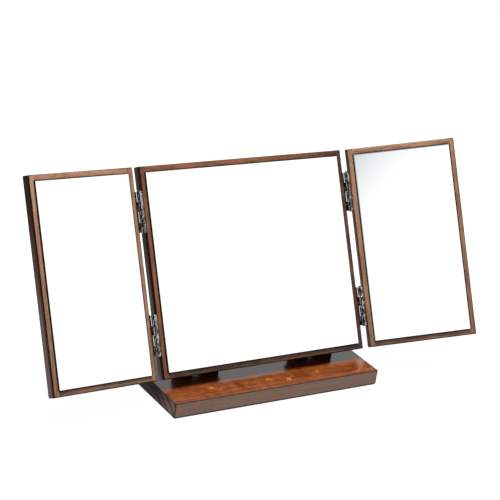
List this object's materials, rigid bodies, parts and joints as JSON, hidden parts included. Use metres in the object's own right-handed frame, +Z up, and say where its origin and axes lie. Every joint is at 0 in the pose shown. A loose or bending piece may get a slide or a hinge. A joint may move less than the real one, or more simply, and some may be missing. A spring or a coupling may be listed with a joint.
{
  "type": "trifold vanity mirror",
  "caption": "Freestanding dressing mirror: a tilting framed centre mirror on a wooden slab base, with a narrower framed mirror wing hinged to each side.",
  "frame": {"origin": "centre of the flat underside of the base", "axes": "+Z up, +X to the right as seen by the user, -Y towards the user"},
  "size_m": [0.5988, 0.1798, 0.293],
  "materials": {
    "base_wood": "orange-brown stain under a high-gloss varnish",
    "frame_wood": "dark walnut stain, satin varnish",
    "wing_wood": "walnut stain, satin varnish",
    "support_wood": "very dark stain, satin varnish",
    "backing": "stained plywood, thin satin varnish",
    "mirror": "silvered float glass, polished",
    "hinge_metal": "nickel plate, bright",
    "fastener_steel": "nickel-plated steel",
    "fibre": "matt vulcanised fibre",
    "tape": "matt foam tape",
    "felt": "black wool-like felt"
  },
  "bodies": {
    "base": {"base_board": "base_wood", "base_felt": "felt", "left_outer_ear": "support_wood", "left_inner_ear": "support_wood", "right_inner_ear": "support_wood", "right_outer_ear": "support_wood", "ear_screws": "support_wood", "left_pivot_bolt": "fastener_steel", "right_pivot_bolt": "fastener_steel", "left_cap_nut": "fastener_steel", "right_cap_nut": "fastener_steel", "bolt_washers": "fastener_steel", "friction_washers": "fibre"},
    "centre_panel": {"centre_left_stile": "frame_wood", "centre_right_stile": "frame_wood", "centre_top_rail": "frame_wood", "centre_bottom_rail": "frame_wood", "centre_back_board": "backing", "centre_mirror_tape": "tape", "centre_mirror_glass": "mirror", "left_tongue": "support_wood", "right_tongue": "support_wood", "tongue_screws": "fastener_steel", "left_upper_hinge_centre_leaf": "hinge_metal", "left_lower_hinge_centre_leaf": "hinge_metal", "right_upper_hinge_centre_leaf": "hinge_metal", "right_lower_hinge_centre_leaf": "hinge_metal", "left_hinge_pins": "hinge_metal", "right_hinge_pins": "hinge_metal", "centre_hinge_screws": "fastener_steel"},
    "left_wing": {"left_wing_hinge_stile": "wing_wood", "left_wing_free_stile": "wing_wood", "left_wing_top_rail": "wing_wood", "left_wing_bottom_rail": "wing_wood", "left_wing_back_board": "backing", "left_wing_mirror_tape": "tape", "left_wing_mirror_glass": "mirror", "left_upper_hinge_wing_leaf": "hinge_metal", "left_lower_hinge_wing_leaf": "hinge_metal", "left_wing_hinge_screws": "fastener_steel"},
    "right_wing": {"right_wing_hinge_stile": "wing_wood", "right_wing_free_stile": "wing_wood", "right_wing_top_rail": "wing_wood", "right_wing_bottom_rail": "wing_wood", "right_wing_back_board": "backing", "right_wing_mirror_tape": "tape", "right_wing_mirror_glass": "mirror", "right_upper_hinge_wing_leaf": "hinge_metal", "right_lower_hinge_wing_leaf": "hinge_metal", "right_wing_hinge_screws": "fastener_steel"}
  },
  "joints": [
    {"name": "panel_tilt", "type": "hinge", "parent": "base", "child": "centre_panel", "pos_m": [0, 0, 0.0347], "axis": [-1, 0, 0], "range_deg": [-26.7, 13.3]},
    {"name": "left_wing_fold", "type": "hinge", "parent": "centre_panel", "child": "left_wing", "pos_m": [-0.1533, 0.02729, 0.15194], "axis": [0, 0.4493, 0.8934], "range_deg": [-20.2, 174.8]},
    {"name": "right_wing_fold", "type": "hinge", "parent": "centre_panel", "child": "right_wing", "pos_m": [0.1533, 0.02729, 0.15194], "axis": [0, -0.4493, -0.8934], "range_deg": [-38, 157]}
  ]
}
